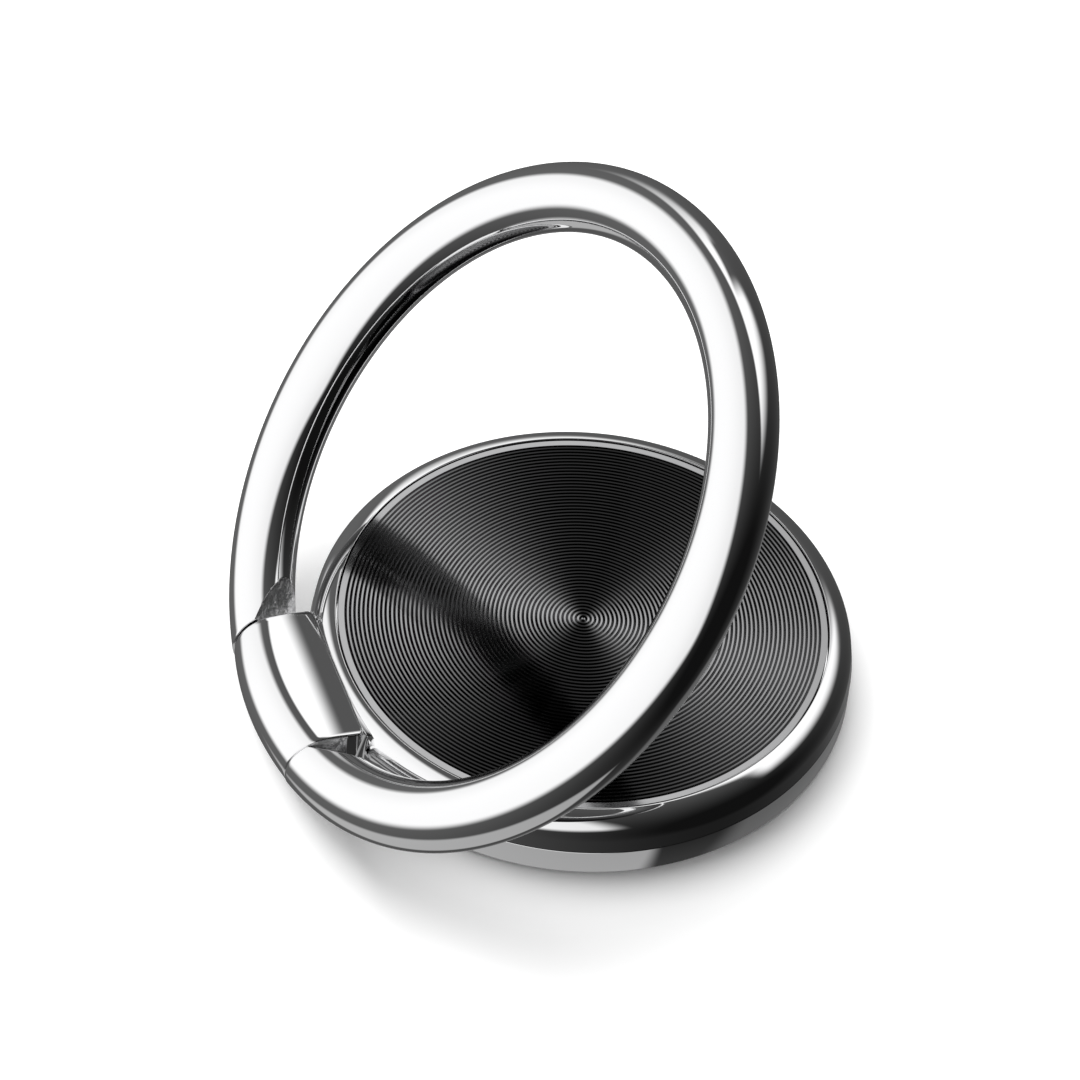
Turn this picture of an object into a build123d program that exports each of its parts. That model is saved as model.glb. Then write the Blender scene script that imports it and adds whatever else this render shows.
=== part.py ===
from build123d import *
from build123d.topology import SkipClean
import os
from math import asin, atan2, cos, degrees, hypot, pi, radians, sin, sqrt, tan

# Phone ring holder, stuck to a phone by the pad under its base plate.
# Z is the swivel axis and z = 0 the sticky face; the hinge knuckle lies towards -X.
# Sizes are in millimetres, angles in degrees.

# Base plate and the pad under it
base_radius = 16.0
pad_thickness = 0.6
pad_proud = 0.15
pad_edge = 1.6
pad_gap = 0.2
plate_rim = 1.72
edge_break = 0.08

# Swivel: rivet, slip washer and disc spring
shank_radius = 2.0
shank_gap = 0.05
flange_radius = 3.4
flange_thickness = 0.4
head_radius = 3.6
head_thickness = 0.22
head_clearance = 0.08
spring_radius = 3.4
spring_sheet = 0.1
spring_cone = 0.1
washer_inner = 5.0
washer_outer = 11.0
washer_thickness = 0.3
washer_gap = 0.1
split_gap = 0.05

# Swivel housing: floor, recess, lip and shoulder
pocket_floor = 0.38
pocket_gap = 0.5
rim_width = 1.55
lip_reveal = 0.12
lip_fall = 0.12
lip_flat = 0.08
shoulder_tilt = 8.0

# Grooved inlay and its tape
tape_thickness = 0.15
tape_edge = 0.6
inlay_thickness = 0.95
inlay_gap = 0.15
groove_margin = 0.42
groove_pitch = 0.514
groove_depth = 0.06

# Finger ring
ring_half_width = 2.04
ring_half_height = 1.83
fold_gap = 0.31
ring_lift = 0.09
raise_angle = 48.8
relief_start = 1.6
relief_angle = 45.0

# Hinge: knuckle, web, pin and sleeve
knuckle_half = 4.93
knuckle_lift = 0.04
knuckle_rise = 0.42
end_gap = 0.12
end_bevel = 0.08
web_flat = 0.75
web_bow = 4.0
web_flare = 0.6
flare_tilt = 14.0
pin_radius = 0.6
pin_grip = 1.25
pin_end_gap = 0.1
pin_point = 0.1
sleeve_wall = 0.25
sleeve_slot = 0.35
sleeve_inset = 0.25
pin_gap = 0.02
press_gap = 0.01

# Levels above the sticky face
plate_top = pad_proud + plate_rim
housing_bottom = plate_top + split_gap
pocket_level = housing_bottom + pocket_floor
head_bottom = pocket_level + spring_sheet + spring_cone
head_top = head_bottom + head_thickness
seat_level = head_top + head_clearance
inlay_bottom = seat_level + tape_thickness
inlay_top = inlay_bottom + inlay_thickness
lip_inner = inlay_top + lip_reveal
lip_outer = lip_inner - lip_fall

# Radii about the swivel axis
pad_radius = base_radius - pad_edge
bore_radius = shank_radius + shank_gap
pocket_radius = head_radius + pocket_gap
recess_radius = base_radius - rim_width
inlay_radius = recess_radius - inlay_gap
ring_radius = base_radius + fold_gap + ring_half_width
shoulder_top = base_radius - (lip_outer - housing_bottom) * tan(radians(shoulder_tilt))

# Rounding of the lip, as large as the slope between the recess and the shoulder allows
lip_run = shoulder_top - recess_radius
lip_turn = 90 - shoulder_tilt - degrees(atan2(lip_fall, lip_run))
lip_round = (hypot(lip_run, lip_fall) - lip_flat) / tan(radians(lip_turn / 2))

# Hinge axis, parallel to Y
hinge_x = -ring_radius
hinge_level = ring_lift + ring_half_height
knuckle_top = lip_outer + knuckle_rise
knuckle_half_height = (knuckle_top - knuckle_lift) / 2
knuckle_level = knuckle_lift + knuckle_half_height
ring_end = knuckle_half + end_gap
sleeve_outer = pin_radius + pin_gap + sleeve_wall


def turned(points):
    """Revolve a closed outline of (radius, level) points about the swivel axis."""
    outline = Plane.XZ * make_face(Polyline(*points, close=True))
    return revolve(outline, Axis.Z)


def along_hinge(radius, half_length):
    """Cylinder on the hinge axis, centred on the knuckle."""
    place = Pos(hinge_x, 0, hinge_level) * Rot(90, 0, 0)
    return place * Cylinder(radius, 2 * half_length)


def adhesive_pad():
    return Pos(0, 0, pad_thickness / 2) * Cylinder(pad_radius, pad_thickness)


def base_plate():
    recess = pad_radius + pad_gap
    pan = plate_top - (washer_thickness - split_gap)
    plate = turned([
        (shank_radius, pad_thickness + flange_thickness),
        (flange_radius + press_gap, pad_thickness + flange_thickness),
        (flange_radius + press_gap, pad_thickness),
        (recess, pad_thickness),
        (recess, pad_proud),
        (base_radius - edge_break, pad_proud),
        (base_radius, pad_proud + edge_break),
        (base_radius, plate_top),
        (washer_outer + washer_gap, plate_top),
        (washer_outer + washer_gap, pan),
        (washer_inner - washer_gap, pan),
        (washer_inner - washer_gap, plate_top),
        (shank_radius, plate_top),
    ])
    return plate


def pivot_rivet():
    return turned([
        (0, pad_thickness),
        (flange_radius, pad_thickness),
        (flange_radius, pad_thickness + flange_thickness),
        (shank_radius, pad_thickness + flange_thickness),
        (shank_radius, head_bottom),
        (head_radius, head_bottom),
        (head_radius, head_top - edge_break),
        (head_radius - edge_break, head_top),
        (0, head_top),
    ])


def slip_washer():
    pan = plate_top - (washer_thickness - split_gap)
    return turned([
        (washer_inner, pan),
        (washer_outer, pan),
        (washer_outer, pan + washer_thickness),
        (washer_inner, pan + washer_thickness),
    ])


def disc_spring():
    inner = bore_radius + shank_gap
    return turned([
        (inner, pocket_level + spring_cone),
        (spring_radius, pocket_level),
        (spring_radius, pocket_level + spring_sheet),
        (inner, pocket_level + spring_cone + spring_sheet),
    ])


def housing_body():
    """Turned rim: floor with the rivet pocket, recess for the inlay, rounded lip and conical shoulder."""
    corners = [
        (bore_radius, housing_bottom),
        (base_radius, housing_bottom),
        (shoulder_top, lip_outer),
        (recess_radius, lip_inner),
        (recess_radius, seat_level),
        (pocket_radius, seat_level),
        (pocket_radius, pocket_level),
        (bore_radius, pocket_level),
    ]
    outline = make_face(Polyline(*corners, close=True))
    crown = outline.vertices().sort_by(Axis.X)[-2]
    outline = fillet(crown, lip_round)
    return revolve(Plane.XZ * outline, Axis.Z)


def knuckle_barrel():
    """Stretch of the ring's own circle between the two ring ends, a little taller than the ring."""
    section = Plane.XZ * Pos(hinge_x, knuckle_level) * Ellipse(ring_half_width, knuckle_half_height)
    reach = degrees(asin(knuckle_half / (ring_radius - ring_half_width)))
    sweep = 2 * reach + 20
    arc = Rot(0, 0, -sweep / 2) * revolve(section, Axis.Z, sweep)
    slab = Box(4 * ring_half_width, 2 * knuckle_half, 4 * knuckle_half_height)
    barrel = arc & (Pos(hinge_x, 0, knuckle_level) * slab)
    return chamfer(barrel.faces().filter_by(Axis.Y).edges(), end_bevel)


def web_slab(half_width):
    """Bridge from the barrel's crest to the rim: flat on top, then bowed down to the lip."""
    bow_x = hinge_x + web_flat
    inner_x = -(recess_radius + inlay_gap)
    run = inner_x - bow_x
    drop = web_bow - sqrt(web_bow ** 2 - run ** 2)
    half_drop = web_bow - sqrt(web_bow ** 2 - run ** 2 / 4)
    side = make_face(Curve() + [
        Line((hinge_x, housing_bottom), (hinge_x, knuckle_top)),
        Line((hinge_x, knuckle_top), (bow_x, knuckle_top)),
        ThreePointArc(
            (bow_x, knuckle_top), (bow_x + run / 2, knuckle_top - half_drop), (inner_x, knuckle_top - drop)
        ),
        Line((inner_x, knuckle_top - drop), (inner_x, housing_bottom)),
        Line((inner_x, housing_bottom), (hinge_x, housing_bottom)),
    ])
    return extrude(Plane.XZ * side, amount=half_width, both=True)


def flare_face(level, side):
    """Plan of one corner flare at a level: an arc from the web's side onto the leaning shoulder."""
    wall = base_radius - (level - housing_bottom) * tan(radians(flare_tilt))
    centre_y = knuckle_half + web_flare
    centre_x = -sqrt((wall + web_flare) ** 2 - centre_y ** 2)
    touch = wall / (wall + web_flare)
    turn = (pi / 2 + asin(centre_y / (wall + web_flare))) / 2
    start = (centre_x, side * knuckle_half)
    middle = (centre_x + web_flare * cos(turn), side * (centre_y - web_flare * sin(turn)))
    end = (centre_x * touch, side * centre_y * touch)
    root = side * (knuckle_half - web_flare)
    return Pos(0, 0, level) * make_face(Curve() + [
        ThreePointArc(start, middle, end),
        Line(end, (end[0], root)),
        Line((end[0], root), (centre_x, root)),
        Line((centre_x, root), start),
    ])


def saddle_web():
    """Web with its two corner flares, ending on the circle of the barrel's crest."""
    web = web_slab(knuckle_half) & Cylinder(ring_radius, 4 * knuckle_top)
    wide = web_slab(knuckle_half + 2 * web_flare)
    for side in (1, -1):
        flare = loft([flare_face(housing_bottom, side), flare_face(knuckle_top, side)])
        web += flare & wide
    return web


def swivel_housing():
    body = housing_body() + knuckle_barrel() + saddle_web()
    return body - along_hinge(sleeve_outer + press_gap, 2 * knuckle_half)


def inlay_tape():
    return turned([
        (pocket_radius, seat_level),
        (inlay_radius - tape_edge, seat_level),
        (inlay_radius - tape_edge, inlay_bottom),
        (pocket_radius, inlay_bottom),
    ])


def inlay_disc():
    """Turned disc: flat margin, then grooves of V section all the way to the centre."""
    outer = inlay_radius - groove_margin
    count = int(outer / groove_pitch)
    points = [(0, inlay_bottom), (inlay_radius, inlay_bottom), (inlay_radius, inlay_top), (outer, inlay_top)]
    for index in range(count):
        crest = outer - index * groove_pitch
        points.append((crest - groove_pitch / 2, inlay_top - groove_depth))
        points.append((crest - groove_pitch, inlay_top))
    points.append((0, inlay_top))
    return turned(points)


def ring_relief():
    """Slanting cut that takes the inner corner off a ring end, clear of the web."""
    reach = 2 * ring_half_width
    climb = reach / tan(radians(relief_angle))
    corner = (hinge_x + relief_start, -ring_end)
    outline = make_face(Polyline(
        corner,
        (corner[0] + reach, corner[1]),
        (corner[0] + reach, corner[1] - climb),
        close=True,
    ))
    return Pos(0, 0, hinge_level) * extrude(outline, amount=2 * ring_half_height, both=True)


def half_ring():
    """The ring's -Y half, folded flat: parted at the knuckle, relieved and drilled for the pin."""
    section = Plane.XZ * Pos(hinge_x, hinge_level) * Ellipse(ring_half_width, ring_half_height)
    gap = Pos(hinge_x, 0, hinge_level) * Box(4 * ring_half_width, 2 * ring_end, 4 * ring_half_height)
    arc = revolve(section, Axis.Z, 180) - gap - ring_relief()
    end_face = arc.faces().filter_by(Axis.Y).sort_by(Axis.X)[0]
    arc = chamfer(end_face.edges(), end_bevel)
    return arc - along_hinge(pin_radius + press_gap, ring_end + pin_grip)


def finger_ring():
    """Oval ring of two mirrored halves, raised about the hinge axis."""
    half = half_ring()
    with SkipClean():
        ring = half + mirror(half, about=Plane.XZ)
    return raised(ring)


def raised(shape):
    """Swing a shape up about the hinge axis from folded flat to the stored pose."""
    return shape.rotate(Axis((hinge_x, 0, hinge_level), (0, -1, 0)), raise_angle)


def hinge_pin():
    pin = along_hinge(pin_radius, ring_end + pin_grip - pin_end_gap)
    return chamfer(pin.edges().filter_by(GeomType.CIRCLE), pin_point)


def friction_sleeve():
    half_length = knuckle_half - sleeve_inset
    sleeve = along_hinge(sleeve_outer, half_length) - along_hinge(pin_radius + pin_gap, knuckle_half)
    slot = Box(sleeve_slot, 4 * knuckle_half, 2 * sleeve_wall + sleeve_outer)
    return sleeve - Pos(hinge_x, 0, hinge_level - sleeve_outer) * slot


pieces = {
    "adhesive_pad": adhesive_pad,
    "base_plate": base_plate,
    "pivot_rivet": pivot_rivet,
    "slip_washer": slip_washer,
    "disc_spring": disc_spring,
    "swivel_housing": swivel_housing,
    "inlay_tape": inlay_tape,
    "inlay_disc": inlay_disc,
    "friction_sleeve": friction_sleeve,
    "hinge_pin": hinge_pin,
    "finger_ring": finger_ring,
}

os.makedirs("parts", exist_ok=True)
for name, make in pieces.items():
    export_step(make(), f"parts/{name}.step")
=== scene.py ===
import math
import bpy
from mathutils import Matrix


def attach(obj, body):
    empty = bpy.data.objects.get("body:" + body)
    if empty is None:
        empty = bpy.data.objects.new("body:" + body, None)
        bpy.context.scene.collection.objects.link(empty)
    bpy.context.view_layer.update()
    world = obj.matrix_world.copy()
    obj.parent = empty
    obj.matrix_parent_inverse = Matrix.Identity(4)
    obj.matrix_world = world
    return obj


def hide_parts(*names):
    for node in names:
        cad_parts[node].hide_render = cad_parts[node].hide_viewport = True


bl_info = {
    "name": "Phone Ring Holder",
    "version": (1, 0, 0),
    "blender": (4, 5, 0),
    "location": "View3D > Sidebar > Ring Holder",
    "description": "Dresses a swivelling phone ring holder in polished chrome and turned black aluminium",
    "category": "Object",
}

import bmesh
import bpy
from bpy.props import FloatProperty, FloatVectorProperty, IntProperty, PointerProperty
from mathutils import Matrix, Vector

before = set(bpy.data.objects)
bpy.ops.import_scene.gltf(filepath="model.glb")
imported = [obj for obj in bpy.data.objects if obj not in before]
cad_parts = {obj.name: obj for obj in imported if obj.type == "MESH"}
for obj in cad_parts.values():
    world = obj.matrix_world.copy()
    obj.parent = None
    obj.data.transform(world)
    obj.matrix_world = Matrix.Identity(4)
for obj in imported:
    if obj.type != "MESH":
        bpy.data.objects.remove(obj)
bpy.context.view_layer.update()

MM = 0.001


class HolderSizes(bpy.types.PropertyGroup):
    """Sizes of the dressed holder, in metres"""

    base_radius: FloatProperty(
        name="Base radius", description="Outer radius of plate and housing",
        default=16.0 * MM, unit="LENGTH", precision=5,
    )
    plate_bottom: FloatProperty(
        name="Plate bottom", description="Height of the plate's rim above the phone",
        default=0.15 * MM, unit="LENGTH", precision=5,
    )
    plate_top: FloatProperty(
        name="Plate top", description="Height of the split between plate and housing",
        default=1.87 * MM, unit="LENGTH", precision=5,
    )
    split_gap: FloatProperty(
        name="Split gap", description="Gap between plate and housing",
        default=0.05 * MM, unit="LENGTH", precision=5,
    )
    lip_outer: FloatProperty(
        name="Lip outer corner", description="Height where shoulder and lip would meet unrounded",
        default=3.90 * MM, unit="LENGTH", precision=5,
    )
    lip_inner: FloatProperty(
        name="Lip inner edge", description="Height of the lip's inner edge",
        default=4.02 * MM, unit="LENGTH", precision=5,
    )
    lip_round: FloatProperty(
        name="Lip rounding", description="Radius between shoulder and lip",
        default=1.516 * MM, unit="LENGTH", precision=5,
    )
    shoulder_tilt: FloatProperty(
        name="Shoulder tilt", description="Lean of the shoulder",
        default=math.radians(8.0), subtype="ANGLE",
    )
    recess_radius: FloatProperty(
        name="Recess radius", description="Radius of the recess that holds the inlay",
        default=14.45 * MM, unit="LENGTH", precision=5,
    )
    seat_level: FloatProperty(
        name="Seat level", description="Height of the recess floor",
        default=2.80 * MM, unit="LENGTH", precision=5,
    )
    ring_radius: FloatProperty(
        name="Ring radius", description="Radius of the ring's centre circle",
        default=18.35 * MM, unit="LENGTH", precision=5,
    )
    ring_half_width: FloatProperty(
        name="Ring half width", description="Half of the section across the ring",
        default=2.04 * MM, unit="LENGTH", precision=5,
    )
    ring_half_height: FloatProperty(
        name="Ring half height", description="Half of the section along the ring's axis",
        default=1.83 * MM, unit="LENGTH", precision=5,
    )
    hinge_level: FloatProperty(
        name="Hinge level", description="Height of the hinge axis",
        default=1.92 * MM, unit="LENGTH", precision=5,
    )
    raise_angle: FloatProperty(
        name="Raise angle", description="How far the ring is swung up at rest",
        default=math.radians(48.8), subtype="ANGLE",
    )
    ring_end: FloatProperty(
        name="Ring end", description="Distance of a ring end from the middle plane",
        default=5.05 * MM, unit="LENGTH", precision=5,
    )
    relief_start: FloatProperty(
        name="Relief start", description="Distance of the slanting cut from the hinge axis",
        default=1.6 * MM, unit="LENGTH", precision=5,
    )
    knuckle_half: FloatProperty(
        name="Knuckle half length", description="Half of the knuckle's length",
        default=4.93 * MM, unit="LENGTH", precision=5,
    )
    knuckle_top: FloatProperty(
        name="Knuckle top", description="Height of the knuckle's crest",
        default=4.32 * MM, unit="LENGTH", precision=5,
    )
    knuckle_bottom: FloatProperty(
        name="Knuckle bottom", description="Height of the knuckle's underside",
        default=0.04 * MM, unit="LENGTH", precision=5,
    )
    web_flat: FloatProperty(
        name="Web flat", description="Length of the flat on top of the web",
        default=0.72 * MM, unit="LENGTH", precision=5,
    )
    web_bow: FloatProperty(
        name="Web bow", description="Radius of the bow after the flat",
        default=11.3 * MM, unit="LENGTH", precision=5,
    )
    web_slope: FloatProperty(
        name="Web slope", description="Fall of the web's top after its bow",
        default=math.radians(8.0), subtype="ANGLE",
    )
    web_end: FloatProperty(
        name="Web end", description="Distance of the web's rolled-over end from the swivel axis",
        default=15.05 * MM, unit="LENGTH", precision=5,
    )
    web_roll: FloatProperty(
        name="Web roll", description="Radius of the rolled-over end",
        default=0.15 * MM, unit="LENGTH", precision=5,
    )
    web_corner: FloatProperty(
        name="Web corner", description="Radius of the end's two corners in plan",
        default=0.45 * MM, unit="LENGTH", precision=5,
    )
    web_flare: FloatProperty(
        name="Web flare", description="Radius of the corners between web and shoulder",
        default=0.6 * MM, unit="LENGTH", precision=5,
    )
    flare_tilt: FloatProperty(
        name="Flare tilt", description="Lean of the corners between web and shoulder",
        default=math.radians(14.0), subtype="ANGLE",
    )
    edge_bevel: FloatProperty(
        name="Edge bevel", description="Width of the polished-over edges",
        default=0.12 * MM, unit="LENGTH", precision=5,
    )
    inlay_radius: FloatProperty(
        name="Inlay radius", description="Radius of the turned disc",
        default=14.38 * MM, unit="LENGTH", precision=5,
    )
    inlay_bottom: FloatProperty(
        name="Inlay bottom", description="Height of the disc's underside",
        default=2.95 * MM, unit="LENGTH", precision=5,
    )
    inlay_top: FloatProperty(
        name="Inlay top", description="Height of the disc's flat margin",
        default=3.95 * MM, unit="LENGTH", precision=5,
    )
    groove_margin: FloatProperty(
        name="Groove margin", description="Width of the flat margin outside the grooves",
        default=0.40 * MM, unit="LENGTH", precision=5,
    )
    groove_count: IntProperty(
        name="Grooves", description="Number of concentric grooves", default=54, min=1, max=80,
    )
    groove_depth: FloatProperty(
        name="Groove depth", description="Depth of the grooves",
        default=0.15 * MM, unit="LENGTH", precision=5,
    )
    groove_land: FloatProperty(
        name="Groove land", description="Share of the pitch left flat between two grooves",
        default=0.40, min=0.05, max=0.9,
    )
    # Painted sheen: direction of the bright fan painted into the inlay's colour, from +X.
    painted_sheen_angle: FloatProperty(
        name="Sheen angle", description="Direction of the turned disc's bright fan, from +X",
        default=math.radians(152.0), subtype="ANGLE",
    )


class HolderColours(bpy.types.PropertyGroup):
    """Colours of the finishes and the floor"""

    chrome: FloatVectorProperty(
        name="Chrome", description="Polished chrome plate", subtype="COLOR",
        default=(0.90, 0.90, 0.905), min=0, max=1,
    )
    plate: FloatVectorProperty(
        name="Plate", description="Chrome on the fixed plate, a little darker", subtype="COLOR",
        default=(0.86, 0.86, 0.865), min=0, max=1,
    )
    inlay: FloatVectorProperty(
        name="Inlay", description="Black anodised aluminium", subtype="COLOR",
        default=(0.40, 0.40, 0.405), min=0, max=1,
    )
    steel: FloatVectorProperty(
        name="Steel", description="Bare steel of rivet, pin, sleeve and spring", subtype="COLOR",
        default=(0.56, 0.56, 0.57), min=0, max=1,
    )
    nylon: FloatVectorProperty(
        name="Nylon", description="Natural nylon of the slip washer", subtype="COLOR",
        default=(0.86, 0.86, 0.82), min=0, max=1,
    )
    tape: FloatVectorProperty(
        name="Tape", description="Adhesive film under the disc", subtype="COLOR",
        default=(0.72, 0.72, 0.70), min=0, max=1,
    )
    pad: FloatVectorProperty(
        name="Pad", description="Foam of the adhesive pad", subtype="COLOR",
        default=(0.12, 0.12, 0.12), min=0, max=1,
    )
    floor: FloatVectorProperty(
        name="Floor", description="Plain pale floor under the holder", subtype="COLOR",
        default=(0.90, 0.90, 0.90), min=0, max=1,
    )


def sizes():
    return bpy.context.scene.holder_sizes


def colours():
    return bpy.context.scene.holder_colours


def rgba(colour):
    return (colour[0], colour[1], colour[2], 1.0)


def lathe(profile, segments):
    """Vertices and faces of a closed (radius, height) outline turned about Z."""
    vertices = []
    for step in range(segments):
        angle = 2 * math.pi * step / segments
        c, s = math.cos(angle), math.sin(angle)
        vertices.extend((r * c, r * s, z) for r, z in profile)
    count = len(profile)
    faces = []
    for step in range(segments):
        a = step * count
        b = (step + 1) % segments * count
        for i in range(count):
            j = (i + 1) % count
            faces.append((a + i, b + i, b + j, a + j))
    return vertices, faces


def arc(centre, radius, start, end, steps):
    """Points of an arc in a profile plane, both ends included."""
    points = []
    for i in range(steps + 1):
        angle = start + (end - start) * i / steps
        points.append((centre[0] + radius * math.cos(angle), centre[1] + radius * math.sin(angle)))
    return points


def make_piece(name, parts, body, material, nodes, bevel=0.0, sharp=math.radians(30)):
    """One object from lists of vertices and faces, welded, bevelled and smooth shaded."""
    mesh = bpy.data.meshes.new(name)
    work = bmesh.new()
    for vertices, faces in parts:
        made = [work.verts.new(v) for v in vertices]
        for face in faces:
            corners = []
            for index in face:
                if made[index] not in corners:
                    corners.append(made[index])
            if len(corners) > 2:
                work.faces.new(corners)
    bmesh.ops.remove_doubles(work, verts=work.verts, dist=1e-8)
    bmesh.ops.recalc_face_normals(work, faces=work.faces)
    if bevel > 0:
        edges = [e for e in work.edges if e.is_manifold and e.calc_face_angle(0) > sharp]
        bmesh.ops.bevel(
            work, geom=edges, offset=bevel, segments=3, profile=0.5,
            affect="EDGES", clamp_overlap=True, offset_type="OFFSET",
        )
    for face in work.faces:
        face.smooth = True
    for edge in work.edges:
        edge.smooth = not (edge.is_manifold and edge.calc_face_angle(0) > sharp)
    work.to_mesh(mesh)
    work.free()
    piece = bpy.data.objects.new(name, mesh)
    bpy.context.scene.collection.objects.link(piece)
    piece.data.materials.append(material)
    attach(piece, body)
    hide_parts(*nodes)
    return piece


def node(tree, kind, **settings):
    made = tree.nodes.new(kind)
    for name, value in settings.items():
        setattr(made, name, value)
    return made


def math_node(tree, operation, a, b=None):
    """Math node whose inputs are sockets or numbers; gives its output socket."""
    made = node(tree, "ShaderNodeMath", operation=operation)
    for socket, value in zip(made.inputs, (a, b)):
        if value is None:
            continue
        if isinstance(value, (int, float)):
            socket.default_value = value
        else:
            tree.links.new(value, socket)
    return made.outputs[0]


def weighted(tree, *terms, start=0.0):
    """Sum of sockets times numbers, on top of a starting number; gives its output socket."""
    total = None
    for socket, share in terms:
        made = node(tree, "ShaderNodeMath", operation="MULTIPLY_ADD")
        tree.links.new(socket, made.inputs[0])
        made.inputs[1].default_value = share
        if total is None:
            made.inputs[2].default_value = start
        else:
            tree.links.new(total, made.inputs[2])
        total = made.outputs[0]
    return total


def product(tree, first, *others):
    """Product of sockets; gives its output socket."""
    for other in others:
        first = math_node(tree, "MULTIPLY", first, other)
    return first


def smooth_step(tree, value, low, high, bottom=0.0, top=1.0):
    made = node(tree, "ShaderNodeMapRange", interpolation_type="SMOOTHSTEP", clamp=True)
    tree.links.new(value, made.inputs["Value"])
    made.inputs["From Min"].default_value = low
    made.inputs["From Max"].default_value = high
    made.inputs["To Min"].default_value = bottom
    made.inputs["To Max"].default_value = top
    return made.outputs["Result"]


def polish_group():
    """Shared finish: faint buffing haze and hairlines as a roughness value and a bump height."""
    name = "Polish"
    if name in bpy.data.node_groups:
        return bpy.data.node_groups[name]
    group = bpy.data.node_groups.new(name, "ShaderNodeTree")
    face = group.interface
    scale = face.new_socket("Scale", in_out="INPUT", socket_type="NodeSocketFloat")
    scale.default_value = 400.0
    low = face.new_socket("Low", in_out="INPUT", socket_type="NodeSocketFloat")
    low.default_value = 0.02
    high = face.new_socket("High", in_out="INPUT", socket_type="NodeSocketFloat")
    high.default_value = 0.05
    face.new_socket("Roughness", in_out="OUTPUT", socket_type="NodeSocketFloat")
    face.new_socket("Height", in_out="OUTPUT", socket_type="NodeSocketFloat")
    into = node(group, "NodeGroupInput")
    out = node(group, "NodeGroupOutput")
    place = node(group, "ShaderNodeTexCoord")
    haze = node(group, "ShaderNodeTexNoise")
    haze.inputs["Detail"].default_value = 4.0
    group.links.new(place.outputs["Object"], haze.inputs["Vector"])
    group.links.new(into.outputs["Scale"], haze.inputs["Scale"])
    spread = node(group, "ShaderNodeMapRange")
    group.links.new(haze.outputs["Fac"], spread.inputs["Value"])
    spread.inputs["From Min"].default_value = 0.3
    spread.inputs["From Max"].default_value = 0.7
    group.links.new(into.outputs["Low"], spread.inputs["To Min"])
    group.links.new(into.outputs["High"], spread.inputs["To Max"])
    group.links.new(spread.outputs["Result"], out.inputs["Roughness"])
    fine = node(group, "ShaderNodeTexNoise")
    fine.inputs["Scale"].default_value = 150.0
    fine.inputs["Detail"].default_value = 2.0
    group.links.new(place.outputs["Object"], fine.inputs["Vector"])
    group.links.new(fine.outputs["Fac"], out.inputs["Height"])
    return group


def finish_material(name, colour, metallic, low, high, bump, scale=400.0):
    """Principled material with the shared polish group on roughness and bump."""
    material = bpy.data.materials.new(name)
    material.use_nodes = True
    tree = material.node_tree
    shader = tree.nodes["Principled BSDF"]
    shader.inputs["Base Color"].default_value = rgba(colour)
    shader.inputs["Metallic"].default_value = metallic
    polish = node(tree, "ShaderNodeGroup")
    polish.node_tree = polish_group()
    polish.inputs["Scale"].default_value = scale
    polish.inputs["Low"].default_value = low
    polish.inputs["High"].default_value = high
    tree.links.new(polish.outputs["Roughness"], shader.inputs["Roughness"])
    grain = node(tree, "ShaderNodeBump")
    grain.inputs["Strength"].default_value = bump
    grain.inputs["Distance"].default_value = 0.00002
    tree.links.new(polish.outputs["Height"], grain.inputs["Height"])
    tree.links.new(grain.outputs["Normal"], shader.inputs["Normal"])
    return material


def chrome_material():
    name = "Polished chrome"
    if name in bpy.data.materials:
        return bpy.data.materials[name]
    return finish_material(name, colours().chrome, 1.0, 0.015, 0.04, 0.02)


def ring_section_start(s, r):
    """Angle from the hinge at which the ring's surface begins, at a radius from the ring's centre."""
    flat = math.asin(s.ring_end / r)
    line = (s.ring_radius - s.relief_start + s.ring_end) / math.sqrt(2)
    if line >= r:
        return flat
    return max(flat, math.asin(line / r) - math.pi / 4)


def relief_corner(s):
    """Radius at which the flat end face and the slanting cut meet."""
    x = s.ring_radius - s.relief_start
    return math.hypot(x, s.ring_end)


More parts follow.
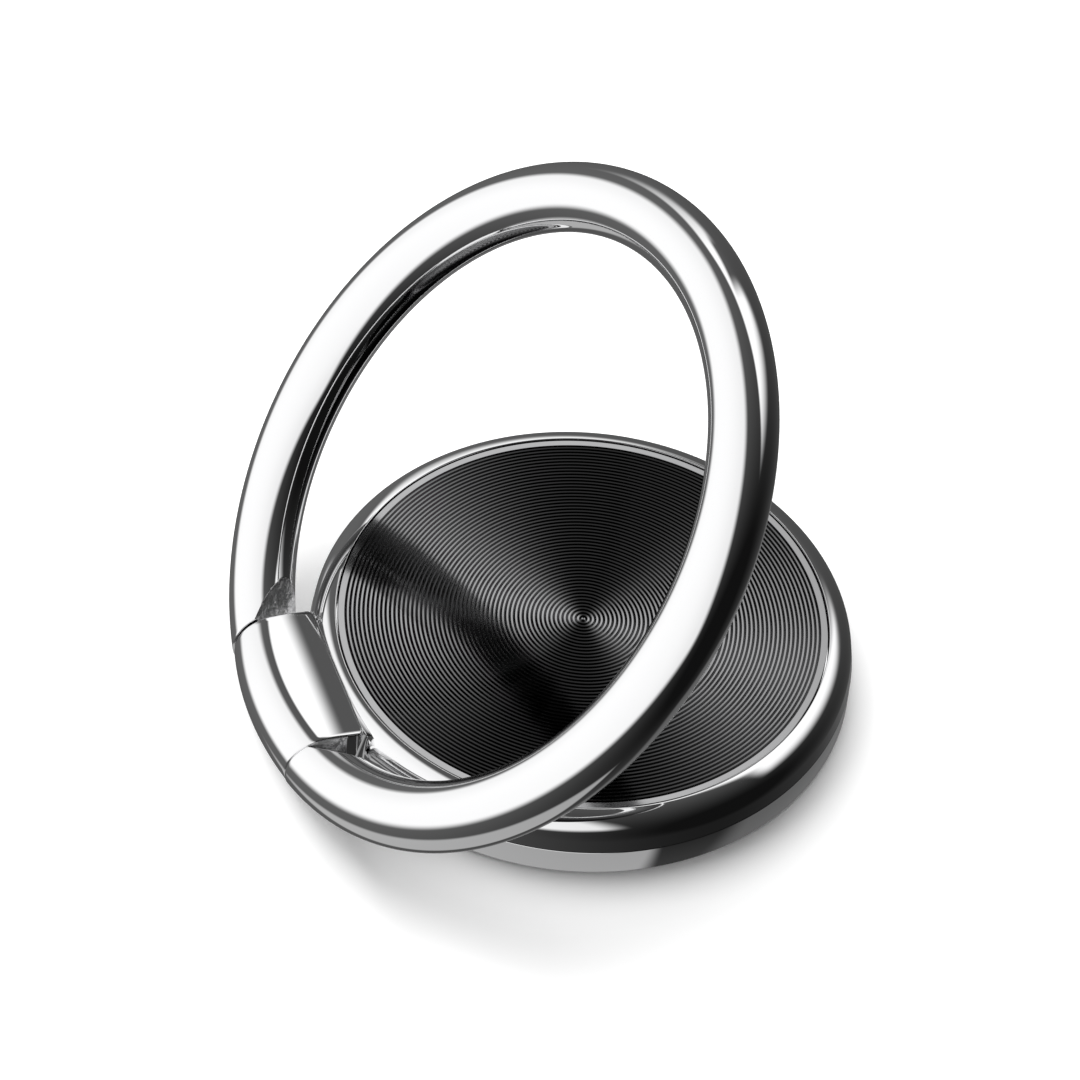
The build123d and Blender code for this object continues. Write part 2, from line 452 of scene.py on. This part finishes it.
class HOLDER_OT_ring(bpy.types.Operator):
    """Finger ring: oval section, flat ends and slanting reliefs beside the knuckle"""

    bl_idname = "holder.ring"
    bl_label = "Finger Ring"

    def material(self, s, turn, hinge):
        """Polished chrome, left as cast on the slanting cuts at the two ends."""
        material = finish_material("Ring chrome", colours().chrome, 1.0, 0.015, 0.04, 0.02)
        tree = material.node_tree
        shader = tree.nodes["Principled BSDF"]
        place = node(tree, "ShaderNodeTexCoord")
        split = node(tree, "ShaderNodeSeparateXYZ")
        tree.links.new(place.outputs["Object"], split.inputs["Vector"])
        x, y, z = split.outputs
        along = turn.to_3x3() @ Vector((1, 0, 0))
        reach = weighted(tree, (x, along.x), (z, along.z), start=-along.dot(hinge))
        off = math_node(tree, "SUBTRACT", reach, math_node(tree, "ABSOLUTE", y))
        off = math_node(tree, "ABSOLUTE", math_node(tree, "SUBTRACT", off, s.relief_start - s.ring_end))
        cut = product(
            tree, smooth_step(tree, off, 0.04 * MM, 0.02 * MM), smooth_step(tree, reach, 5 * MM, 4 * MM),
        )
        polished = shader.inputs["Roughness"].links[0].from_socket
        rough = math_node(tree, "MULTIPLY_ADD", cut, 0.32)
        tree.links.new(polished, rough.node.inputs[2])
        tree.links.new(rough, shader.inputs["Roughness"])
        mottle = node(tree, "ShaderNodeTexNoise")
        mottle.inputs["Scale"].default_value = 1600.0
        mottle.inputs["Detail"].default_value = 3.0
        tree.links.new(place.outputs["Object"], mottle.inputs["Vector"])
        cast = node(tree, "ShaderNodeBump")
        cast.inputs["Distance"].default_value = 0.0002
        tree.links.new(math_node(tree, "MULTIPLY", cut, 0.7), cast.inputs["Strength"])
        tree.links.new(mottle.outputs["Fac"], cast.inputs["Height"])
        tree.links.new(shader.inputs["Normal"].links[0].from_socket, cast.inputs["Normal"])
        tree.links.new(cast.outputs["Normal"], shader.inputs["Normal"])
        return material

    def execute(self, context):
        s = sizes()
        around, along = 120, 560
        corner = math.acos((relief_corner(s) - s.ring_radius) / s.ring_half_width)
        angles = [2 * math.pi * j / around for j in range(around)]
        for target in (corner, 2 * math.pi - corner):
            nearest = min(range(around), key=lambda j: abs(angles[j] - target))
            angles[nearest] = target
        turn = Matrix.Rotation(s.raise_angle, 4, Vector((0, -1, 0)))
        hinge = Vector((-s.ring_radius, 0, s.hinge_level))
        vertices = []
        for i in range(along + 1):
            for t in angles:
                r = s.ring_radius + s.ring_half_width * math.cos(t)
                start = ring_section_start(s, r)
                phi = start + (2 * math.pi - 2 * start) * i / along
                level = s.hinge_level + s.ring_half_height * math.sin(t)
                point = Vector((-r * math.cos(phi), r * math.sin(phi), level))
                vertices.append(hinge + turn @ (point - hinge))
        faces = []
        for i in range(along):
            for j in range(around):
                k = (j + 1) % around
                a, b = i * around, (i + 1) * around
                faces.append((a + j, a + k, b + k, b + j))
        low = min(range(around), key=lambda j: abs(angles[j] - corner))
        high = min(range(around), key=lambda j: abs(angles[j] - (2 * math.pi - corner)))
        relief = list(range(low, high + 1))
        flat = list(range(high, around)) + list(range(0, low + 1))
        for base in (0, along * around):
            faces.append(tuple(base + j for j in relief))
            faces.append(tuple(base + j for j in flat))
        make_piece(
            "polished_ring", [(vertices, faces)], "ring", self.material(s, turn, hinge),
            ["finger_ring"], bevel=s.edge_bevel,
        )
        return {"FINISHED"}


class HOLDER_OT_housing(bpy.types.Operator):
    """Swivel housing: turned rim with lip and shoulder, hinge knuckle, saddle web and corner flares"""

    bl_idname = "holder.housing"
    bl_label = "Swivel Housing"

    def rim(self, s):
        bottom = s.plate_top + s.split_gap
        lean = math.tan(s.shoulder_tilt)
        top_radius = s.base_radius - (s.lip_outer - bottom) * lean
        corner = Vector((top_radius, s.lip_outer))
        down = (Vector((s.base_radius, bottom)) - corner).normalized()
        inward = (Vector((s.recess_radius, s.lip_inner)) - corner).normalized()
        half = down.angle(inward) / 2
        reach = s.lip_round / math.tan(half)
        centre = corner + (down + inward).normalized() * (s.lip_round / math.sin(half))
        first = corner + down * reach - centre
        last = corner + inward * reach - centre
        start = math.atan2(first.y, first.x)
        end = math.atan2(last.y, last.x)
        bevel = 0.05 * MM
        crease = 0.015 * MM
        bore = 2.05 * MM
        pocket = 4.1 * MM
        pocket_level = 2.30 * MM
        profile = [(bore, bottom), (s.base_radius - crease, bottom), (s.base_radius, bottom + crease)]
        profile += arc(centre, s.lip_round, start, end, 36)
        profile += [
            (s.recess_radius + bevel, s.lip_inner - bevel * 0.09),
            (s.recess_radius + bevel * 0.3, s.lip_inner - bevel * 0.3),
            (s.recess_radius, s.lip_inner - bevel),
            (s.recess_radius, s.seat_level),
            (pocket, s.seat_level),
            (pocket, pocket_level),
            (bore, pocket_level),
        ]
        return lathe(profile, 512)

    def web_level(self, s, x):
        """Height of the web's top: level beside the crest, then a slow bow, then a straight fall."""
        past = max(0.0, x + s.ring_radius - s.web_flat)
        bowed = min(past, s.web_bow * math.sin(s.web_slope))
        drop = s.web_bow - math.sqrt(s.web_bow ** 2 - bowed ** 2)
        return s.knuckle_top - drop - (past - bowed) * math.tan(s.web_slope)

    def knuckle_outline(self, s, y, inset):
        """Outline across the knuckle at a distance along the hinge, drawn in by an inset."""
        bottom = s.plate_top + s.split_gap
        half_height = (s.knuckle_top - s.knuckle_bottom) / 2
        level = (s.knuckle_top + s.knuckle_bottom) / 2
        crest = -math.sqrt(s.ring_radius ** 2 - y ** 2)
        underside = math.asin((bottom - level) / half_height)
        past = max(abs(y) - s.knuckle_half + s.web_corner, 0.0)
        end_x = -s.web_end - s.web_corner + math.sqrt(s.web_corner ** 2 - past ** 2)
        roll_x = end_x - s.web_roll
        roll_z = self.web_level(s, roll_x)
        outline = [Vector((end_x, roll_z - 1.5 * s.web_roll))]
        for k in range(7):
            t = math.pi / 2 * k / 6
            fall = s.web_roll * (1 - math.sin(t))
            outline.append(Vector((roll_x + s.web_roll * math.cos(t), roll_z - fall)))
        top_steps, barrel_steps = 40, 110
        for k in range(1, top_steps):
            x = roll_x + (crest - roll_x) * k / top_steps
            outline.append(Vector((x, self.web_level(s, x))))
        for k in range(barrel_steps + 1):
            t = math.pi / 2 - (1.5 * math.pi + underside) * k / barrel_steps
            r = s.ring_radius + s.ring_half_width * math.cos(t)
            outline.append(Vector((-math.sqrt(r ** 2 - y ** 2), level + half_height * math.sin(t))))
        outline.append(Vector((end_x, bottom)))
        drawn = []
        for k, point in enumerate(outline):
            along = outline[(k + 1) % len(outline)] - outline[k - 1]
            drawn.append(point + Vector((-along.y, along.x)).normalized() * inset)
        return drawn

    def knuckle(self, s):
        """Torus stretch with the web's bridge on its inner side, as outlines set side by side along Y."""
        stations, corner = 48, 4
        ends = []
        for i in range(corner + 1):
            a = math.pi / 2 * i / corner
            ends.append((s.knuckle_half - s.edge_bevel * (1 - math.sin(a)), s.edge_bevel * (1 - math.cos(a))))
        reach = s.knuckle_half - s.edge_bevel
        cuts = [(-y, inset) for y, inset in reversed(ends)]
        cuts += [(-reach + 2 * reach * i / stations, 0.0) for i in range(1, stations)]
        cuts += ends
        vertices = []
        for y, inset in cuts:
            outline = self.knuckle_outline(s, y, inset)
            vertices.extend((point.x, y, point.y) for point in outline)
        count = len(outline)
        faces = []
        for i in range(len(cuts) - 1):
            a, b = i * count, (i + 1) * count
            for j in range(count):
                k = (j + 1) % count
                faces.append((a + j, b + j, b + k, a + k))
        faces.append(tuple(range(count)))
        faces.append(tuple(range(len(vertices) - count, len(vertices))))
        return vertices, faces

    def flare_point(self, s, z, share):
        """Plan point of a corner flare at a level: share 0 on the web's side, 1 on the shoulder."""
        wall = s.base_radius - (z - s.plate_top - s.split_gap) * math.tan(s.flare_tilt)
        cy = s.knuckle_half + s.web_flare
        cx = -math.sqrt((wall + s.web_flare) ** 2 - cy ** 2)
        angle = math.pi / 2 + (math.atan2(cy, -cx) - math.pi / 2) * share
        return cx + s.web_flare * math.cos(angle), cy - s.web_flare * math.sin(angle)

    def flare(self, s, side):
        """Corner between the web's side and the shoulder, as tall as the web is there."""
        bottom = s.plate_top + s.split_gap
        levels, steps = 10, 14
        root = side * (s.knuckle_half - 0.2 * MM)
        vertices, faces = [], []
        for i in range(levels + 1):
            ring = []
            for k in range(steps + 1):
                share = k / steps
                x, y = self.flare_point(s, s.lip_outer - 0.3 * MM, share)
                top = self.web_level(s, x) - s.edge_bevel - 0.75 * MM * share ** 2 * (3 - 2 * share)
                z = bottom + (top - bottom) * i / levels
                x, y = self.flare_point(s, z, share)
                ring.append((x, side * y, z))
            ring.append((ring[-1][0] + 0.1 * MM, root, ring[-1][2]))
            ring.append((ring[0][0], root, ring[0][2]))
            vertices.extend(ring)
        count = steps + 3
        for i in range(levels):
            a, b = i * count, (i + 1) * count
            for j in range(count):
                k = (j + 1) % count
                faces.append((a + j, a + k, b + k, b + j))
        faces.append(tuple(range(count)))
        faces.append(tuple(range(levels * count, (levels + 1) * count)))
        return vertices, faces

    def execute(self, context):
        s = sizes()
        make_piece(
            "polished_housing",
            [self.rim(s), self.knuckle(s), self.flare(s, 1), self.flare(s, -1)],
            "housing", chrome_material(), ["swivel_housing"],
        )
        return {"FINISHED"}


class HOLDER_OT_plate(bpy.types.Operator):
    """Base plate: the plain chromed wall below the split"""

    bl_idname = "holder.plate"
    bl_label = "Base Plate"

    def execute(self, context):
        s = sizes()
        b = 0.08 * MM
        bottom, top, radius = s.plate_bottom, s.plate_top, s.base_radius
        bore = 2.0 * MM
        flange, flange_level = 3.41 * MM, 1.0 * MM
        pad_recess, pad_level = 14.6 * MM, 0.6 * MM
        washer_inner, washer_outer, washer_level = 4.9 * MM, 11.1 * MM, 1.62 * MM
        profile = [
            (bore, flange_level), (flange, flange_level), (flange, pad_level),
            (pad_recess, pad_level), (pad_recess, bottom),
            (radius - b, bottom), (radius - b * 0.3, bottom + b * 0.3), (radius, bottom + b),
            (radius, top - b / 5), (radius - b / 5, top),
            (washer_outer, top), (washer_outer, washer_level),
            (washer_inner, washer_level), (washer_inner, top), (bore, top),
        ]
        material = finish_material("Plate chrome", colours().plate, 1.0, 0.02, 0.05, 0.02)
        make_piece("polished_plate", [lathe(profile, 512)], "base", material, ["base_plate"])
        return {"FINISHED"}


class HOLDER_OT_inlay(bpy.types.Operator):
    """Inlay: black turned disc with concentric grooves and a flat margin"""

    bl_idname = "holder.inlay"
    bl_label = "Grooved Inlay"

    def material(self, s, outer):
        """Anodised finish: black lands with a fan-shaped painted sheen, a highlight painted into the colour in
        place of turned metal's reflection, paler flat margin.
        """
        material = finish_material("Black anodised", colours().inlay, 1.0, 0.07, 0.11, 0.03)
        tree = material.node_tree
        place = node(tree, "ShaderNodeTexCoord")
        split = node(tree, "ShaderNodeSeparateXYZ")
        tree.links.new(place.outputs["Object"], split.inputs["Vector"])
        x, y, z = split.outputs
        square = math_node(tree, "ADD", math_node(tree, "MULTIPLY", x, x), math_node(tree, "MULTIPLY", y, y))
        radius = math_node(tree, "SQRT", square)
        # Painted sheen: the lands' base colour brightens in a two-lobed fan about the sheen angle, fixed to the
        # disc, not following any lamp.
        along = weighted(tree, (x, math.cos(s.painted_sheen_angle)), (y, math.sin(s.painted_sheen_angle)))
        turn = math_node(tree, "ABSOLUTE", math_node(tree, "DIVIDE", along, radius))
        painted_sheen_fan = weighted(tree, (math_node(tree, "POWER", turn, 3.7), 0.85), start=0.05)
        edge = smooth_step(tree, radius, outer - 0.02 * MM, outer + 0.02 * MM)
        tone = math_node(tree, "MAXIMUM", painted_sheen_fan, edge)
        mix = node(tree, "ShaderNodeMix", data_type="RGBA")
        tree.links.new(tone, mix.inputs["Factor"])
        mix.inputs["A"].default_value = (0.0, 0.0, 0.0, 1.0)
        mix.inputs["B"].default_value = rgba(colours().inlay)
        tree.links.new(mix.outputs["Result"], tree.nodes["Principled BSDF"].inputs["Base Color"])
        return material

    def execute(self, context):
        s = sizes()
        edge = 0.04 * MM
        outer = s.inlay_radius - s.groove_margin
        pitch = outer / s.groove_count
        land = s.groove_land * pitch
        profile = [
            (0.0, s.inlay_bottom), (s.inlay_radius, s.inlay_bottom),
            (s.inlay_radius, s.inlay_top - edge), (s.inlay_radius - edge, s.inlay_top),
        ]
        for index in range(s.groove_count):
            crest = outer - index * pitch
            profile.append((crest, s.inlay_top))
            profile.append((crest - (pitch - land) / 2, s.inlay_top - s.groove_depth))
            profile.append((crest - (pitch - land), s.inlay_top))
        profile.append((0.0, s.inlay_top))
        make_piece(
            "turned_inlay", [lathe(profile, 384)], "housing", self.material(s, outer),
            ["inlay_disc"], sharp=math.radians(8),
        )
        return {"FINISHED"}


class HOLDER_OT_fittings(bpy.types.Operator):
    """Finishes for the rivet, pin, sleeve, spring, washer, tape and pad"""

    bl_idname = "holder.fittings"
    bl_label = "Fittings"

    def execute(self, context):
        c = colours()
        steel = finish_material("Bare steel", c.steel, 1.0, 0.25, 0.4, 0.1, 900.0)
        nylon = finish_material("Nylon", c.nylon, 0.0, 0.4, 0.55, 0.2, 600.0)
        film = finish_material("Adhesive film", c.tape, 0.0, 0.3, 0.5, 0.1, 600.0)
        foam = finish_material("Pad foam", c.pad, 0.0, 0.8, 0.95, 0.6, 2500.0)
        finishes = {
            "pivot_rivet": steel, "hinge_pin": steel, "friction_sleeve": steel, "disc_spring": steel,
            "slip_washer": nylon, "inlay_tape": film, "adhesive_pad": foam,
        }
        for name, material in finishes.items():
            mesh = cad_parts[name].data
            mesh.materials.clear()
            mesh.materials.append(material)
        return {"FINISHED"}


class HOLDER_OT_stage(bpy.types.Operator):
    """Camera, studio light and the pale floor"""

    bl_idname = "holder.stage"
    bl_label = "Stage"

    def camera(self):
        azimuth, elevation, roll = math.radians(-23.422), math.radians(47.266), math.radians(5.51)
        back = Vector((
            math.sin(azimuth) * math.cos(elevation),
            -math.cos(azimuth) * math.cos(elevation),
            math.sin(elevation),
        ))
        right = (-back).cross(Vector((0, 0, 1))).normalized()
        up = right.cross(-back)
        across = math.cos(roll) * right + math.sin(roll) * up
        along = math.cos(roll) * up - math.sin(roll) * right
        place = Vector((-86.17, -191.47, 237.58)) * MM
        data = bpy.data.cameras.new("Camera")
        data.sensor_width = 36.0
        data.lens = 178.98
        data.clip_start = 0.01
        eye = bpy.data.objects.new("Camera", data)
        eye.matrix_world = Matrix((
            (across.x, along.x, back.x, place.x),
            (across.y, along.y, back.y, place.y),
            (across.z, along.z, back.z, place.z),
            (0, 0, 0, 1),
        ))
        bpy.context.scene.collection.objects.link(eye)
        bpy.context.scene.camera = eye

    def studio(self):
        """World: large soft light on the left, a smaller one with two dark flags on the right, dark between."""
        world = bpy.data.worlds.new("Studio")
        bpy.context.scene.world = world
        world.use_nodes = True
        tree = world.node_tree
        tree.nodes.clear()
        out = node(tree, "ShaderNodeOutputWorld")
        sky = node(tree, "ShaderNodeBackground")
        tree.links.new(sky.outputs["Background"], out.inputs["Surface"])
        place = node(tree, "ShaderNodeTexCoord")
        split = node(tree, "ShaderNodeSeparateXYZ")
        tree.links.new(place.outputs["Generated"], split.inputs["Vector"])
        x, y, z = split.outputs
        dark = math_node(tree, "MAXIMUM", weighted(tree, (y, 0.055), (x, -0.04), start=0.068), 0.006)
        behind = math_node(tree, "MAXIMUM", math_node(tree, "SUBTRACT", y, 0.65), 0.0)
        side = weighted(tree, (x, 1.0), (y, 0.10), (behind, 0.25))
        left = product(
            tree,
            smooth_step(tree, side, -0.04, -0.25),
            smooth_step(tree, weighted(tree, (z, 1.0), (x, -0.509), (y, 0.261)), 0.10, 0.38),
            smooth_step(tree, side, -0.2, -0.8, 0.88, 0.98),
        )
        flag = product(
            tree,
            smooth_step(tree, x, 0.27, 0.42),
            smooth_step(tree, y, 0.46, 0.60),
            smooth_step(tree, y, 0.80, 0.72),
        )
        edge = product(
            tree,
            smooth_step(tree, y, 0.35, 0.15),
            smooth_step(tree, weighted(tree, (x, 1.0), (y, 0.5)), 0.58, 0.48),
        )
        right = product(
            tree,
            smooth_step(tree, weighted(tree, (x, 1.0), (y, 0.461), (z, -0.577)), -0.04, 0.06),
            smooth_step(tree, x, 0.03, 0.13),
            smooth_step(tree, weighted(tree, (x, 1.0), (y, 1.0)), 1.30, 1.10),
            smooth_step(tree, weighted(tree, (z, 1.0), (y, 0.38)), 0.38, 0.88),
            smooth_step(tree, y, 0.64, 0.95, 1.1, 0.6),
            weighted(tree, (flag, -0.99), (edge, -1.0), start=1.0),
        )
        low = smooth_step(tree, z, -0.64, -0.74)
        card = product(
            tree, low, smooth_step(tree, x, 0.23, 0.15),
            smooth_step(tree, weighted(tree, (x, 1.0), (y, 1.0)), 0.08, -0.08, 0.0, 0.36),
        )
        bounce = product(
            tree, low,
            smooth_step(tree, weighted(tree, (x, 1.0), (y, 0.5)), 0.25, 0.45, 0.0, 0.09),
        )
        above = math_node(tree, "MAXIMUM", left, right)
        below = math_node(tree, "MAXIMUM", card, bounce)
        total = math_node(tree, "ADD", math_node(tree, "MAXIMUM", above, below), dark)
        tree.links.new(total, sky.inputs["Strength"])
        sky.inputs["Color"].default_value = (1, 1, 1, 1)

    def top_light(self):
        """Soft lamp overhead and a little behind, for the floor and its shadow, not for reflections."""
        data = bpy.data.lights.new("Top light", "AREA")
        data.shape = "RECTANGLE"
        data.size = 0.42
        data.size_y = 0.28
        data.energy = 1.45
        lamp = bpy.data.objects.new("Top light", data)
        lamp.location = (-0.01, 0.16, 0.36)
        lamp.rotation_euler = lamp.location.to_track_quat("Z", "Y").to_euler()
        lamp.visible_glossy = False
        bpy.context.scene.collection.objects.link(lamp)

    def floor_material(self):
        """Pale matte floor with a faint paper grain, shown paler away from the object's own shadow by a painted
        glow that washes out the ring's outer shadow.
        """
        material = finish_material("Pale floor", colours().floor, 0.0, 0.9, 1.0, 0.02, 300.0)
        tree = material.node_tree
        shader = tree.nodes["Principled BSDF"]
        shader.inputs["Specular IOR Level"].default_value = 0.0
        shader.inputs["Emission Color"].default_value = (1, 1, 1, 1)
        place = node(tree, "ShaderNodeTexCoord")
        away = node(tree, "ShaderNodeVectorMath", operation="DISTANCE")
        tree.links.new(place.outputs["Object"], away.inputs[0])
        away.inputs[1].default_value = (-2 * MM, -4 * MM, 0.0)
        # Painted light: round the holder the floor glows up to 0.42 from 13 to 22 mm, washing out the ring's
        # cast shadow; further out it glows evenly white.
        painted_glow_near = smooth_step(tree, away.outputs["Value"], 13 * MM, 22 * MM, 0.0, 0.42)
        far = smooth_step(tree, away.outputs["Value"], 60 * MM, 250 * MM, 0.0, 0.58)
        ray = node(tree, "ShaderNodeLightPath").outputs
        shown = math_node(tree, "MAXIMUM", ray["Is Camera Ray"], ray["Is Glossy Ray"])
        shown = math_node(tree, "MAXIMUM", shown, ray["Is Transmission Ray"])
        glow = product(tree, math_node(tree, "ADD", painted_glow_near, far), shown)
        tree.links.new(glow, shader.inputs["Emission Strength"])
        return material

    def floor(self):
        mesh = bpy.data.meshes.new("floor")
        half, level = 1.5, -0.02 * MM
        corners = [(-half, -half, level), (half, -half, level), (half, half, level), (-half, half, level)]
        mesh.from_pydata(corners, [], [(0, 1, 2, 3)])
        mesh.materials.append(self.floor_material())
        made = bpy.data.objects.new("floor", mesh)
        made.visible_glossy = False
        bpy.context.scene.collection.objects.link(made)

    def execute(self, context):
        self.camera()
        self.studio()
        self.top_light()
        self.floor()
        bpy.context.scene.view_settings.view_transform = "Standard"
        return {"FINISHED"}


class HOLDER_PT_panel(bpy.types.Panel):
    """Sidebar list of the holder's steps and values"""

    bl_idname = "HOLDER_PT_panel"
    bl_label = "Ring Holder"
    bl_space_type = "VIEW_3D"
    bl_region_type = "UI"
    bl_category = "Ring Holder"

    def draw(self, context):
        for step in STEPS:
            self.layout.operator(step.bl_idname)
        for group in (sizes(), colours()):
            for name in group.__annotations__:
                self.layout.prop(group, name)


STEPS = (
    HOLDER_OT_ring, HOLDER_OT_housing, HOLDER_OT_plate, HOLDER_OT_inlay, HOLDER_OT_fittings, HOLDER_OT_stage,
)
CLASSES = (HolderSizes, HolderColours) + STEPS + (HOLDER_PT_panel,)


def register():
    for item in CLASSES:
        bpy.utils.register_class(item)
    bpy.types.Scene.holder_sizes = PointerProperty(type=HolderSizes)
    bpy.types.Scene.holder_colours = PointerProperty(type=HolderColours)


def unregister():
    del bpy.types.Scene.holder_colours
    del bpy.types.Scene.holder_sizes
    for item in reversed(CLASSES):
        bpy.utils.unregister_class(item)


def main():
    register()
    bpy.ops.holder.ring()
    bpy.ops.holder.housing()
    bpy.ops.holder.plate()
    bpy.ops.holder.inlay()
    bpy.ops.holder.fittings()
    bpy.ops.holder.stage()


if __name__ == "__main__":
    main()
